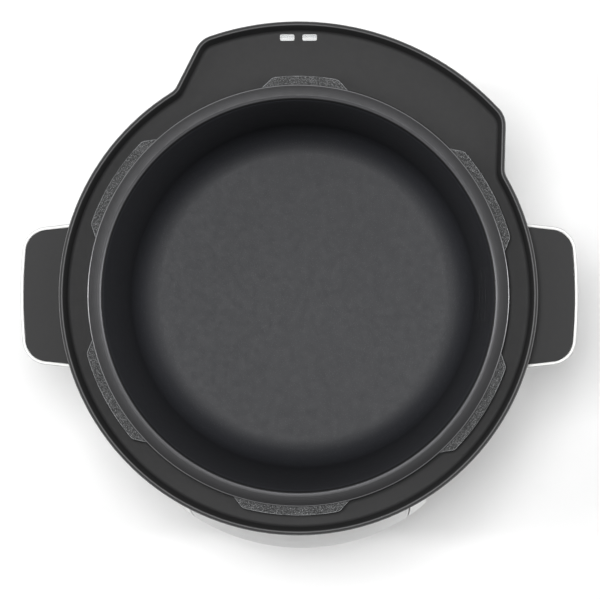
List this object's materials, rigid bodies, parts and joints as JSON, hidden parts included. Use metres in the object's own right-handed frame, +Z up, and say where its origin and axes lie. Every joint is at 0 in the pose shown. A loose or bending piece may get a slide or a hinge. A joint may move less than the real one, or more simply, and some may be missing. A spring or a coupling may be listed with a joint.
{
  "type": "electric pressure cooker base",
  "caption": "Electric pressure cooker base without its lid: coated inner pot, lugged steel bowl, dark channel ring with a rear bulge, side handles and a front control panel.",
  "frame": {"origin": "on the table, under the inner pot's axis, at the level of the feet", "axes": "+Z up along the pot's axis, +Y to the rear where the ring bulges out, +X through the right-hand handle"},
  "size_m": [0.3188, 0.3094, 0.248],
  "materials": {
    "light_plastic": "satin",
    "panel_plastic": "satin",
    "button_plastic": "satin",
    "dark_plastic": "matte",
    "handle_plastic": "matte",
    "component_plastic": "matte",
    "coated_aluminium": "satin",
    "textured_steel": "matte",
    "steel": "satin",
    "bare_aluminium": "satin",
    "rubber": "matte",
    "dark_lens": "gloss",
    "circuit_board": "satin",
    "clear_plastic": "gloss"
  },
  "bodies": {
    "base": {"outer_shell": "light_plastic", "top_ring": "dark_plastic", "channel_seal": "rubber", "lug_ring": "textured_steel", "steel_bowl": "steel", "heating_plate": "bare_aluminium", "heater_terminal_left": "steel", "heater_terminal_right": "steel", "heater_lead_left": "rubber", "heater_lead_right": "rubber", "sensor_spring": "steel", "sensor_sleeve": "component_plastic", "thermal_fuse": "component_plastic", "pressure_switch": "component_plastic", "base_plate": "dark_plastic", "foot_1": "rubber", "foot_2": "rubber", "foot_3": "rubber", "foot_4": "rubber", "base_screw_1": "steel", "base_screw_2": "steel", "base_screw_3": "steel", "left_handle_shell": "light_plastic", "left_handle_cap": "handle_plastic", "left_handle_screw_1": "steel", "left_handle_screw_2": "steel", "right_handle_shell": "light_plastic", "right_handle_cap": "handle_plastic", "right_handle_screw_1": "steel", "right_handle_screw_2": "steel", "panel_housing": "light_plastic", "panel_fascia": "panel_plastic", "display_lens": "dark_lens", "display_module": "component_plastic", "control_board": "circuit_board", "power_board": "circuit_board", "power_relay": "component_plastic", "power_transformer": "component_plastic", "filter_capacitor": "component_plastic", "ribbon_cable": "component_plastic", "power_inlet": "component_plastic", "inlet_pin_live": "steel", "inlet_pin_earth": "steel", "inlet_pin_neutral": "steel"},
    "pot": {"inner_pot": "coated_aluminium"},
    "cup": {"condensation_cup": "clear_plastic"},
    "sensor": {"sensor_cap": "bare_aluminium"},
    "menu_key": {"menu_button": "button_plastic"},
    "minus_key": {"minus_button": "button_plastic"},
    "plus_key": {"plus_button": "button_plastic"},
    "timer_key": {"timer_button": "button_plastic"},
    "cancel_key": {"cancel_button": "button_plastic"},
    "start_key": {"start_button": "button_plastic"}
  },
  "joints": [
    {"name": "pot_lift", "type": "slide", "parent": "base", "child": "pot", "axis": [0, 0, 1], "range_m": [0, 0.17]},
    {"name": "cup_pull", "type": "slide", "parent": "base", "child": "cup", "axis": [0, 1, 0], "range_m": [0, 0.025]},
    {"name": "sensor_press", "type": "slide", "parent": "base", "child": "sensor", "axis": [0, 0, 1], "range_m": [-0.002, 0], "stiffness_N_per_m": 600, "deforming": ["sensor_spring"]},
    {"name": "menu_press", "type": "slide", "parent": "base", "child": "menu_key", "axis": [0.4067, 0.9135, 0], "range_m": [0, 0.001], "stiffness_N_per_m": 1200},
    {"name": "minus_press", "type": "slide", "parent": "base", "child": "minus_key", "axis": [0.1392, 0.9903, 0], "range_m": [0, 0.001], "stiffness_N_per_m": 1200},
    {"name": "plus_press", "type": "slide", "parent": "base", "child": "plus_key", "axis": [-0.1392, 0.9903, 0], "range_m": [0, 0.001], "stiffness_N_per_m": 1200},
    {"name": "timer_press", "type": "slide", "parent": "base", "child": "timer_key", "axis": [-0.4067, 0.9135, 0], "range_m": [0, 0.001], "stiffness_N_per_m": 1200},
    {"name": "cancel_press", "type": "slide", "parent": "base", "child": "cancel_key", "axis": [0.1908, 0.9816, 0], "range_m": [0, 0.001], "stiffness_N_per_m": 1200},
    {"name": "start_press", "type": "slide", "parent": "base", "child": "start_key", "axis": [-0.1908, 0.9816, 0], "range_m": [0, 0.001], "stiffness_N_per_m": 1200}
  ]
}
